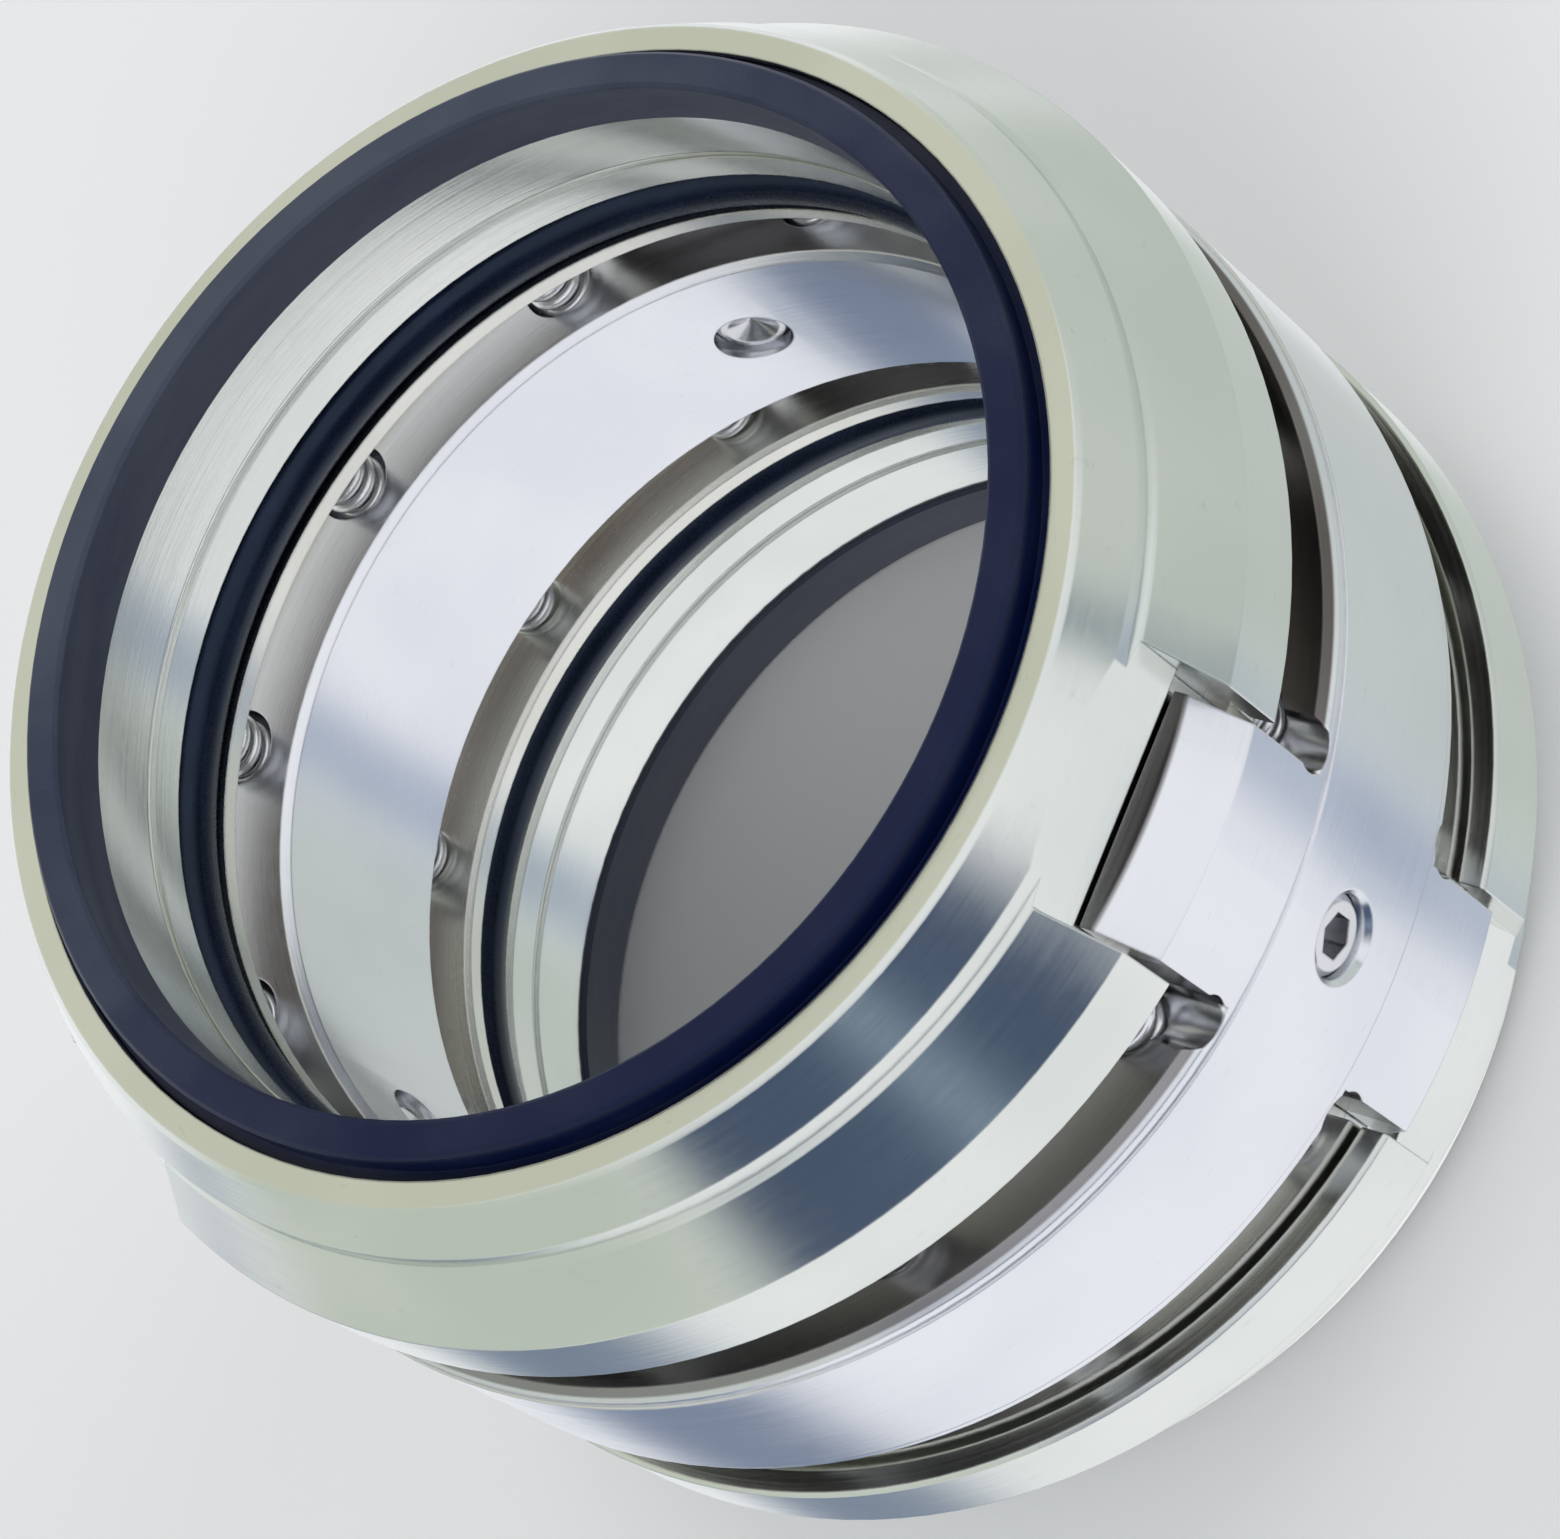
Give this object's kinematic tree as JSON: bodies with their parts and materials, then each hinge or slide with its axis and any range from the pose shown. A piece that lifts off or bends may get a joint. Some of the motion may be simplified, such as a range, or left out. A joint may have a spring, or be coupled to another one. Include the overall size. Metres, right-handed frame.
{
  "type": "boat shaft seal",
  "caption": "Double mechanical shaft seal: a drive collar with set screws and lugs between two sprung carriers, each with a dark narrow-faced seal ring.",
  "frame": {"origin": "centre of the rear seal face, on the shaft line", "axes": "+Z along the shaft line from the rear seal face to the front one, +X through the first drive lug and set screw"},
  "size_m": [0.1, 0.1, 0.0754],
  "materials": {
    "turned_steel": "fine turned stainless steel",
    "seal_face": "lapped dark blue-black seal face",
    "rubber": "smooth black elastomer",
    "spring_steel": "bright drawn wire",
    "screw_steel": "plain machined steel"
  },
  "bodies": {
    "collar": {"drive_collar": "turned_steel", "rear_spring_1": "spring_steel", "rear_spring_2": "spring_steel", "rear_spring_3": "spring_steel", "rear_spring_4": "spring_steel", "rear_spring_5": "spring_steel", "rear_spring_6": "spring_steel", "rear_spring_7": "spring_steel", "rear_spring_8": "spring_steel", "rear_spring_9": "spring_steel", "rear_spring_10": "spring_steel", "rear_spring_11": "spring_steel", "rear_spring_12": "spring_steel", "front_spring_1": "spring_steel", "front_spring_2": "spring_steel", "front_spring_3": "spring_steel", "front_spring_4": "spring_steel", "front_spring_5": "spring_steel", "front_spring_6": "spring_steel", "front_spring_7": "spring_steel", "front_spring_8": "spring_steel", "front_spring_9": "spring_steel", "front_spring_10": "spring_steel", "front_spring_11": "spring_steel", "front_spring_12": "spring_steel"},
    "rear_face": {"rear_carrier": "turned_steel", "rear_seal_ring": "seal_face", "rear_thrust_ring": "turned_steel", "rear_o_ring": "rubber"},
    "front_face": {"front_carrier": "turned_steel", "front_seal_ring": "seal_face", "front_thrust_ring": "turned_steel", "front_o_ring": "rubber"},
    "screw_1": {"set_screw_1": "screw_steel"},
    "screw_2": {"set_screw_2": "screw_steel"},
    "screw_3": {"set_screw_3": "screw_steel"}
  },
  "joints": [
    {"name": "rear_face_slide", "type": "slide", "parent": "collar", "child": "rear_face", "axis": [0, 0, 1], "range_m": [0, 0.0018], "stiffness_N_per_m": 50000, "springref_m": -0.0006, "deforming": ["rear_spring_1", "rear_spring_2", "rear_spring_3", "rear_spring_4", "rear_spring_5", "rear_spring_6", "rear_spring_7", "rear_spring_8", "rear_spring_9", "rear_spring_10", "rear_spring_11", "rear_spring_12"]},
    {"name": "front_face_slide", "type": "slide", "parent": "collar", "child": "front_face", "axis": [0, 0, -1], "range_m": [0, 0.0018], "stiffness_N_per_m": 50000, "springref_m": -0.0006, "deforming": ["front_spring_1", "front_spring_2", "front_spring_3", "front_spring_4", "front_spring_5", "front_spring_6", "front_spring_7", "front_spring_8", "front_spring_9", "front_spring_10", "front_spring_11", "front_spring_12"]},
    {"name": "set_screw_1_feed", "type": "slide", "parent": "collar", "child": "screw_1", "axis": [1, 0, 0], "range_m": [-0.0007, 0.008]},
    {"name": "set_screw_2_feed", "type": "slide", "parent": "collar", "child": "screw_2", "axis": [-0.5, 0.866, 0], "range_m": [-0.0007, 0.008]},
    {"name": "set_screw_3_feed", "type": "slide", "parent": "collar", "child": "screw_3", "axis": [-0.5, -0.866, 0], "range_m": [-0.0007, 0.008]}
  ]
}
